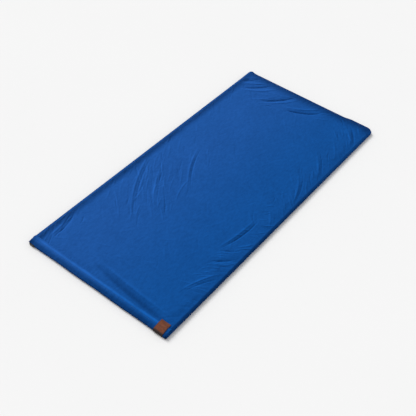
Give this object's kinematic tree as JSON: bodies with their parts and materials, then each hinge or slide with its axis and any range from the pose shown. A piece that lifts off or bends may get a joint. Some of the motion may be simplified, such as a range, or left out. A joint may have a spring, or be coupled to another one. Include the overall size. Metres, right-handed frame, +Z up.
{
  "type": "infrared sauna blanket",
  "caption": "Flat padded blue velour sauna bag with a fold-hinged lid, side and foot zips, a rolled head hem, a leather pull tab, heating zones and a plug inlet.",
  "frame": {"origin": "centre of the underside, on the floor", "axes": "+Y from the head end to the foot, +X from the zip side to the fold side, +Z up"},
  "size_m": [0.8398, 1.7998, 0.0237],
  "materials": {
    "velour": "royal blue short-pile velour",
    "liner": "black waterproof PU liner",
    "wadding": "white fibre wadding",
    "foil": "bright reflective foil",
    "felt": "grey carbon-fibre felt",
    "heating_wire": "red silicone-sheathed heating wire",
    "lead": "black sheathed lead",
    "black_plastic": "black moulded plastic",
    "contact": "plated contacts",
    "steel": "plated steel",
    "zip_tape": "black woven zip tape",
    "zip_teeth": "black moulded teeth",
    "gunmetal": "gunmetal zip hardware",
    "leather": "tan brown leather",
    "garage": "black folded webbing"
  },
  "bodies": {
    "lower_half": {"foot_zip_chain_lower": "zip_teeth", "foot_zip_retainer_box_lower": "gunmetal", "foot_zip_tape_lower": "zip_tape", "foot_zip_top_stop_lower": "gunmetal", "inlet_bezel": "black_plastic", "inlet_contacts": "contact", "inlet_housing": "black_plastic", "inlet_lead": "lead", "inlet_screw_fold_side": "steel", "inlet_screw_zip_side": "steel", "lower_cover": "velour", "lower_junction_box": "black_plastic", "lower_legs_heating_felt": "felt", "lower_legs_heating_wire": "heating_wire", "lower_legs_return_lead": "lead", "lower_legs_supply_lead": "lead", "lower_legs_temperature_sensor": "black_plastic", "lower_liner": "liner", "lower_reflector": "foil", "lower_torso_heating_felt": "felt", "lower_torso_heating_wire": "heating_wire", "lower_torso_return_lead": "lead", "lower_torso_supply_lead": "lead", "lower_torso_temperature_sensor": "black_plastic", "lower_wadding": "wadding", "side_zip_chain_lower": "zip_teeth", "side_zip_retainer_box_lower": "gunmetal", "side_zip_tape_lower": "zip_tape", "side_zip_top_stop_lower": "gunmetal", "thermal_cutout": "steel", "zip_garage": "garage"},
    "lid": {"foot_zip_chain_upper": "zip_teeth", "foot_zip_insertion_pin_upper": "gunmetal", "foot_zip_tape_upper": "zip_tape", "foot_zip_top_stop_upper": "gunmetal", "head_hem": "velour", "leather_tab": "leather", "side_zip_chain_upper": "zip_teeth", "side_zip_insertion_pin_upper": "gunmetal", "side_zip_tape_upper": "zip_tape", "side_zip_top_stop_upper": "gunmetal", "upper_cover": "velour", "upper_junction_box": "black_plastic", "upper_legs_heating_felt": "felt", "upper_legs_heating_wire": "heating_wire", "upper_legs_return_lead": "lead", "upper_legs_supply_lead": "lead", "upper_liner": "liner", "upper_reflector": "foil", "upper_torso_heating_felt": "felt", "upper_torso_heating_wire": "heating_wire", "upper_torso_return_lead": "lead", "upper_torso_supply_lead": "lead", "upper_wadding": "wadding"},
    "side_slider": {"side_zip_slider": "gunmetal"},
    "foot_slider": {"foot_zip_slider": "gunmetal"},
    "side_puller": {"side_zip_puller": "gunmetal"},
    "foot_puller": {"foot_zip_puller": "gunmetal"}
  },
  "joints": [
    {"name": "lid_fold", "type": "hinge", "parent": "lower_half", "child": "lid", "pos_m": [0.4203, 0, 0.011], "axis": [0, 1, 0], "range_deg": [0, 180]},
    {"name": "side_zip_travel", "type": "slide", "parent": "lower_half", "child": "side_slider", "axis": [0, -1, 0], "range_m": [0, 1.692]},
    {"name": "foot_zip_travel", "type": "slide", "parent": "lower_half", "child": "foot_slider", "axis": [1, 0, 0], "range_m": [0, 0.632]},
    {"name": "side_puller_swing", "type": "hinge", "parent": "side_slider", "child": "side_puller", "pos_m": [-0.4174, 0.845, 0.011], "axis": [0, 0, 1], "range_deg": [0, 180]},
    {"name": "foot_puller_swing", "type": "hinge", "parent": "foot_slider", "child": "foot_puller", "pos_m": [-0.375, 0.8974, 0.011], "axis": [0, 0, 1], "range_deg": [0, 180]}
  ]
}
